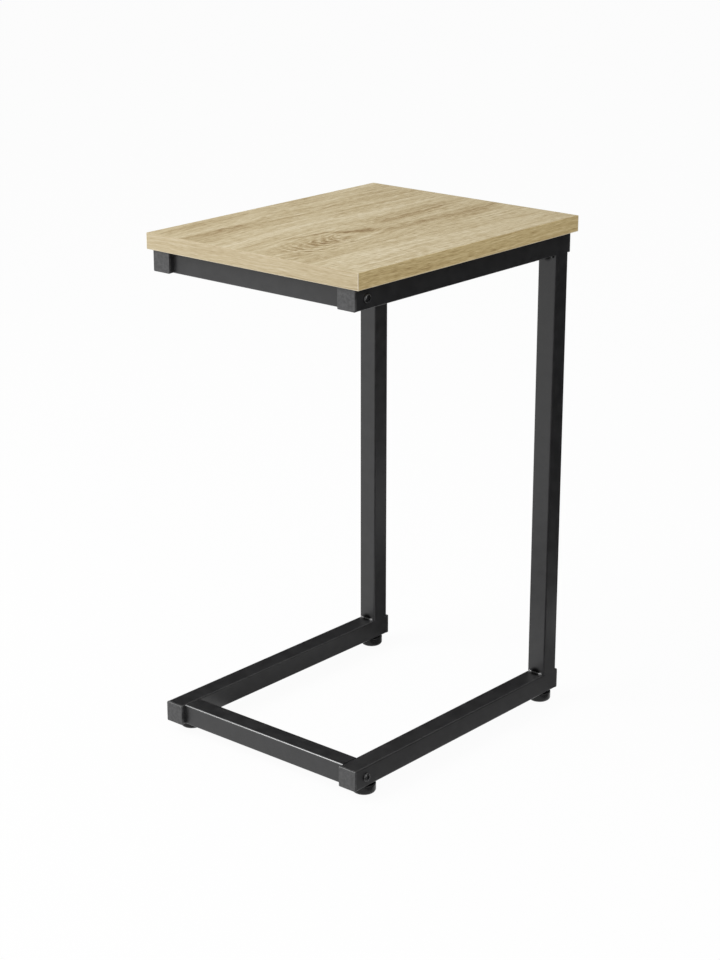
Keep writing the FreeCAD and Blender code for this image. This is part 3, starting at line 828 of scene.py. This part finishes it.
def bead_swell(share):
    """The bead's size at a share of its length: ripples, a lump near each end and a small tip."""
    to_end = min(share, 1.0 - share)
    ripple = RIPPLE * math.cos(share * BEAD_LENGTH / DROP_PITCH * math.tau)
    lump = LUMP * math.exp(-((to_end - LUMP_PLACE) / LUMP_SPREAD) ** 2)
    tip = min(1.0, TIP_START + to_end * TIP_RISE)
    return (BEAD_BODY + ripple + lump) * tip


print("swell at the tip, the lump and the middle", [round(bead_swell(at), 2) for at in (0.0, 0.09, 0.5)])

# %% Draw out one bead
BEAD_STEPS = 48
MM = 0.001


def weld_bead(leg):
    """A mesh in metres along X, its corner on the X axis, filling +Y and +Z. Leg is in millimetres."""
    bead = bmesh.new()
    bmesh.ops.create_circle(bead, cap_ends=True, segments=32, radius=leg,
                            matrix=Matrix.Rotation(math.pi / 2, 4, "Y"))
    for side in ((0.0, -1.0, 0.0), (0.0, 0.0, -1.0)):
        everything = bead.verts[:] + bead.edges[:] + bead.faces[:]
        bmesh.ops.bisect_plane(bead, geom=everything, dist=0.0001, plane_co=(0.0, 0.0, 0.0),
                               plane_no=side, clear_outer=True)
    face = bead.faces[:][0]
    swell = bead_swell(0.0)
    bmesh.ops.scale(bead, vec=(1.0, swell, swell), verts=face.verts)
    for step in range(1, BEAD_STEPS + 1):
        drawn = bmesh.ops.extrude_face_region(bead, geom=[face])
        if step > 1:
            bmesh.ops.delete(bead, geom=[face], context="FACES_ONLY")
        face = next(item for item in drawn["geom"] if isinstance(item, bmesh.types.BMFace))
        wanted = bead_swell(step / BEAD_STEPS)
        bmesh.ops.scale(bead, vec=(1.0, wanted / swell, wanted / swell), verts=face.verts)
        bmesh.ops.translate(bead, vec=(BEAD_LENGTH / BEAD_STEPS, 0.0, 0.0), verts=face.verts)
        swell = wanted
    bmesh.ops.translate(bead, vec=(-BEAD_LENGTH / 2, 0.0, 0.0), verts=bead.verts)
    bmesh.ops.scale(bead, vec=(MM, MM, MM), verts=bead.verts)
    return bead


print("a bead is drawn", BEAD_LENGTH, "mm in", BEAD_STEPS, "steps")

# %% A flush fill on a post's side
TUBE_CORNER = 1.8 * MM
FILL_ROUND = TUBE_CORNER * 0.6


def flush_fill(face, inwards, front, rear, seam, into_rail):
    """A block behind a post's side face that fills the rail's rounded corner, with softened ends."""
    fill_block = bmesh.new()
    bmesh.ops.create_cube(fill_block, size=1.0)
    bmesh.ops.scale(fill_block, vec=(TUBE_CORNER, rear - front, TUBE_CORNER), verts=fill_block.verts)
    middle = (face + inwards * TUBE_CORNER / 2, (front + rear) / 2, seam + into_rail * TUBE_CORNER / 2)
    bmesh.ops.translate(fill_block, vec=middle, verts=fill_block.verts)
    ends = [edge for edge in fill_block.edges
            if all(abs(vert.co.x - face) < TUBE_CORNER / 2 for vert in edge.verts)
            and abs(edge.verts[0].co.y - edge.verts[1].co.y) < TUBE_CORNER / 2]
    bmesh.ops.bevel(fill_block, geom=ends, offset=FILL_ROUND, affect="EDGES", segments=4,
                    profile=0.5, material=-1)
    return fill_block


print("a fill is", TUBE_CORNER, "m thick")

# %% Finish a mesh as a piece
SHARP_ANGLE = math.radians(40.0)


def finish_piece(name, meshes, finish, body, slot, *nodes):
    """Joins meshes into one smooth piece that rides on a body and stands for any nodes named."""
    whole = bmesh.new()
    for part in meshes:
        bmesh.ops.recalc_face_normals(part, faces=part.faces)
        held = bpy.data.meshes.new("held")
        part.to_mesh(held)
        part.free()
        whole.from_mesh(held)
        bpy.data.meshes.remove(held)
    for face in whole.faces:
        face.smooth = True
    mesh = bpy.data.meshes.new(name)
    whole.to_mesh(mesh)
    whole.free()
    mesh.materials.append(finish)
    mesh.set_sharp_from_angle(angle=SHARP_ANGLE)
    piece = bpy.data.objects.new(name, mesh)
    bpy.context.scene.collection.objects.link(piece)
    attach(piece, body)
    if nodes:
        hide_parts(*nodes)
    print(name, len(mesh.polygons), "faces on", body)


print("edges of more than", round(math.degrees(SHARP_ANGLE)), "degrees stay sharp")

# %% Beads at both ends of both posts
FRONT_LEG = 3.0
REAR_LEG = 1.0
for side in ("left", "right"):
    post_low, post_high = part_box(f"{side}_post")
    beads = []
    fills = []
    for height, up in ((post_low.z, 1.0), (post_high.z, -1.0)):
        for depth, leg, out in ((post_low.y, FRONT_LEG, -1.0), (post_high.y, REAR_LEG, 1.0)):
            bead = weld_bead(leg)
            bmesh.ops.scale(bead, vec=(1.0, out, up), verts=bead.verts)
            middle = ((post_low.x + post_high.x) / 2, depth, height)
            bmesh.ops.translate(bead, vec=middle, verts=bead.verts)
            beads.append(bead)
        for face, inwards in ((post_low.x, 1.0), (post_high.x, -1.0)):
            front = post_low.y + TUBE_CORNER / 2
            rear = post_high.y - TUBE_CORNER / 2
            fills.append(flush_fill(face, inwards, front, rear, height, -up))
    finish_piece(f"{side}_weld_beads", beads, weld_paint, "frame", "frame_paint", f"{side}_frame_welds")
    finish_piece(f"{side}_weld_fills", fills, frame_paint, "frame", "frame_paint")

# %% [markdown]
# ## Threaded foot studs
#
# Each foot screws into its rail on an 8 mm threaded stud, and shows the thread when it is screwed out.
# A stack of rings would look like a thread but wouldn't be one. Spinning the thread's outline while
# it climbs gives the true spiral, and two flat cuts close its ends.
# The outline is a crest and a root, as radius and climb in millimetres.

# %% Spin one thread
THREAD_PITCH = 1.25
THREAD_STEPS = 28
THREAD_OUTLINE = ((3.98, 0.0), (3.98, 0.16), (3.4, 0.54), (3.4, 0.85), (3.98, THREAD_PITCH))
SPARE_TURNS = 4


def threaded_stud(low, high):
    """A spiral thread round the Z axis between two heights in millimetres, as a mesh in metres."""
    stud = bmesh.new()
    start = low - SPARE_TURNS / 2 * THREAD_PITCH
    corners = [stud.verts.new((radius, 0.0, start + climb)) for radius, climb in THREAD_OUTLINE]
    outline = [stud.edges.new(pair) for pair in zip(corners, corners[1:])]
    turns = math.ceil((high - low) / THREAD_PITCH) + SPARE_TURNS
    bmesh.ops.spin(stud, geom=corners + outline, cent=(0.0, 0.0, 0.0), axis=(0.0, 0.0, 1.0),
                   dvec=(0.0, 0.0, THREAD_PITCH / THREAD_STEPS), angle=turns * math.tau,
                   steps=turns * THREAD_STEPS, use_merge=False)
    bmesh.ops.remove_doubles(stud, verts=stud.verts, dist=0.001)
    for height, way in ((low, -1.0), (high, 1.0)):
        everything = stud.verts[:] + stud.edges[:] + stud.faces[:]
        bmesh.ops.bisect_plane(stud, geom=everything, dist=0.0001, plane_co=(0.0, 0.0, height),
                               plane_no=(0.0, 0.0, way), clear_outer=True)
    rims = [edge for edge in stud.edges if edge.is_boundary]
    bmesh.ops.holes_fill(stud, edges=rims, sides=0)
    bmesh.ops.scale(stud, vec=(MM, MM, MM), verts=stud.verts)
    return stud


print("thread pitch", THREAD_PITCH, "mm")

# %% Four studs
for side in ("left", "right"):
    for end in ("front", "rear"):
        node = f"{side}_{end}_foot_stud"
        stud_low, stud_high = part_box(node)
        stud = threaded_stud(stud_low.z / MM, stud_high.z / MM)
        middle = (stud_low + stud_high) / 2
        bmesh.ops.translate(stud, vec=(middle.x, middle.y, 0.0), verts=stud.verts)
        finish_piece(f"{side}_{end}_threaded_stud", [stud], zinc_steel, node, "zinc_steel", node)

# %% [markdown]
# ## Dress the nodes
#
# The boards, tubes, caps, bolts and feet already have their true shapes, so they stay and only get a finish.
# Each node arrives with the name of its finish on its material slot, so the finishes are handed out by
# name, and only the edge bands are looked up by node, because each has its own direction of print.

# %% Hand out the finishes
finishes = {"oak_board": oak_board, "frame_paint": frame_paint, "cap_plastic": cap_plastic,
            "black_bolt": black_bolt, "foot_plastic": foot_plastic, "zinc_steel": zinc_steel}
for name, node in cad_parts.items():
    for slot in node.material_slots:
        wanted = slot.material.name.split(".")[0]
        slot.material = bands_by_node[name] if name in bands_by_node else finishes[wanted]
    print(name, [slot.material.name for slot in node.material_slots])
